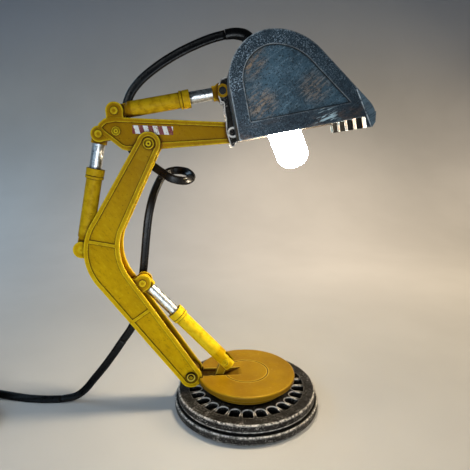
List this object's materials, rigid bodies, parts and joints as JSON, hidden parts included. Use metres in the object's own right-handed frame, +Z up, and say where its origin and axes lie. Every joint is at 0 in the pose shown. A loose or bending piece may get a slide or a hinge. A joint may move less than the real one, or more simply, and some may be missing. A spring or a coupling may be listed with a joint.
{
  "type": "excavator desk lamp",
  "caption": "Desk lamp shaped as an excavator arm: boom, stick and cylinders on a turntable carry a toothed bucket that shades a small bulb, with a flat cord to a switch and plug.",
  "frame": {"origin": "centre of the round base on the desk", "axes": "+X from the boom towards the bucket, +Y away from the viewer across the arm, +Z up"},
  "size_m": [0.3719, 0.1755, 0.278],
  "materials": {
    "yellow_paint": "satin mustard-yellow paint with a brown wash in the recesses",
    "ochre_paint": "worn ochre paint",
    "bucket_metal": "dark blue-grey with silver worn edges and rust patches",
    "base_iron": "near-black with silver worn edges",
    "weight_iron": "raw",
    "chrome": "polished",
    "steel": "brushed",
    "brass": "plain",
    "felt": "matt black",
    "black_plastic": "satin black",
    "black_rubber": "satin black",
    "bulb_glass": "frosted, lit"
  },
  "bodies": {
    "base": {"base_casting": "base_iron", "base_weight": "weight_iron", "base_pad": "felt", "thrust_washer": "brass", "cord_lead": "black_rubber", "cord_floor": "black_rubber", "cord_coil": "black_rubber", "cord_tie": "felt", "cord_tail": "black_rubber", "switch_base": "black_plastic", "switch_cover": "black_plastic", "cord_end": "black_rubber", "plug_body": "black_plastic", "plug_pins": "chrome"},
    "rocker": {"switch_rocker": "black_plastic"},
    "turntable": {"turntable": "ochre_paint", "boom_bracket": "ochre_paint", "bracket_screws": "ochre_paint", "slew_retainer": "steel", "slew_bolt": "steel", "boom_cylinder_base_pin": "yellow_paint"},
    "boom": {"boom": "yellow_paint", "boom_foot_pin": "yellow_paint", "stick_pivot_pin": "yellow_paint", "boom_cord_clip": "black_plastic", "boom_cylinder_rod_pin": "yellow_paint", "stick_cylinder_base_pin": "yellow_paint", "cord_drop": "black_rubber"},
    "boom_barrel": {"boom_cylinder_barrel": "yellow_paint", "boom_cylinder_gland": "yellow_paint"},
    "boom_rod": {"boom_cylinder_rod": "chrome", "boom_cylinder_rod_end": "yellow_paint"},
    "stick": {"stick": "yellow_paint", "tail_rivet": "yellow_paint", "stick_cord_clip": "black_plastic", "stick_cylinder_rod_pin": "yellow_paint", "bucket_cylinder_base_pin": "yellow_paint", "cord_loop": "black_rubber"},
    "stick_barrel": {"stick_cylinder_barrel": "yellow_paint", "stick_cylinder_gland": "yellow_paint"},
    "stick_rod": {"stick_cylinder_rod": "chrome", "stick_cylinder_rod_end": "yellow_paint"},
    "bucket": {"bucket_shell": "bucket_metal", "bucket_near_plate": "bucket_metal", "bucket_far_plate": "bucket_metal", "bucket_lip": "bucket_metal", "bucket_bracket": "bucket_metal", "bucket_pivot_pin": "bucket_metal", "bucket_cylinder_rod_pin": "bucket_metal", "lampholder": "black_plastic", "bulb_cap": "chrome", "bulb_glass": "bulb_glass", "cord_gland": "black_plastic", "cord_boot": "black_rubber", "cord_arch": "black_rubber"},
    "bucket_barrel": {"bucket_cylinder_barrel": "yellow_paint", "bucket_cylinder_gland": "yellow_paint"},
    "bucket_rod": {"bucket_cylinder_rod": "chrome", "bucket_cylinder_rod_end": "yellow_paint"}
  },
  "joints": [
    {"name": "slew", "type": "hinge", "parent": "base", "child": "turntable", "pos_m": [0, 0, 0.02], "axis": [0, 0, 1], "range_deg": [-25, 25], "deforming": ["cord_lead"]},
    {"name": "boom_pivot", "type": "hinge", "parent": "turntable", "child": "boom", "pos_m": [-0.043, 0, 0.02595], "axis": [0, 1, 0], "range_deg": [-12, 12], "deforming": ["cord_drop"]},
    {"name": "boom_barrel_pivot", "type": "hinge", "parent": "turntable", "child": "boom_barrel", "pos_m": [-0.0167, 0, 0.03535], "axis": [0, 1, 0], "range_deg": [-11, 11]},
    {"name": "boom_rod_pivot", "type": "hinge", "parent": "boom", "child": "boom_rod", "pos_m": [-0.077, 0, 0.10045], "axis": [0, 1, 0], "range_deg": [-2, 2]},
    {"name": "stick_pivot", "type": "hinge", "parent": "boom", "child": "stick", "pos_m": [-0.0685, 0, 0.20045], "axis": [0, 1, 0], "range_deg": [-12, 12], "deforming": ["cord_loop"]},
    {"name": "stick_barrel_pivot", "type": "hinge", "parent": "boom", "child": "stick_barrel", "pos_m": [-0.1192, 0, 0.12595], "axis": [0, 1, 0], "range_deg": [-1, 1]},
    {"name": "stick_rod_pivot", "type": "hinge", "parent": "stick", "child": "stick_rod", "pos_m": [-0.1023, 0, 0.20695], "axis": [0, 1, 0], "range_deg": [-13, 13]},
    {"name": "bucket_pivot", "type": "hinge", "parent": "stick", "child": "bucket", "pos_m": [-0.011, 0, 0.20795], "axis": [0, 1, 0], "range_deg": [-12, 12], "deforming": ["cord_arch"]},
    {"name": "bucket_barrel_pivot", "type": "hinge", "parent": "stick", "child": "bucket_barrel", "pos_m": [-0.091, 0, 0.22225], "axis": [0, 1, 0], "range_deg": [-2, 2]},
    {"name": "bucket_rod_pivot", "type": "hinge", "parent": "bucket", "child": "bucket_rod", "pos_m": [-0.0178, 0, 0.23535], "axis": [0, 1, 0], "range_deg": [-14, 14]},
    {"name": "switch_toggle", "type": "hinge", "parent": "base", "child": "rocker", "pos_m": [-0.284, -0.047, 0.0107], "axis": [1, 0, 0], "range_deg": [0, 8]}
  ],
  "couplings": [
    {"joint": "boom_barrel_pivot", "follows": "boom_pivot", "ratio": 0.877},
    {"joint": "boom_rod_pivot", "follows": "boom_pivot", "ratio": -0.123},
    {"joint": "stick_barrel_pivot", "follows": "stick_pivot", "ratio": -0.006},
    {"joint": "stick_rod_pivot", "follows": "stick_pivot", "ratio": -1.006},
    {"joint": "bucket_barrel_pivot", "follows": "bucket_pivot", "ratio": -0.025},
    {"joint": "bucket_rod_pivot", "follows": "bucket_pivot", "ratio": -1.025}
  ]
}
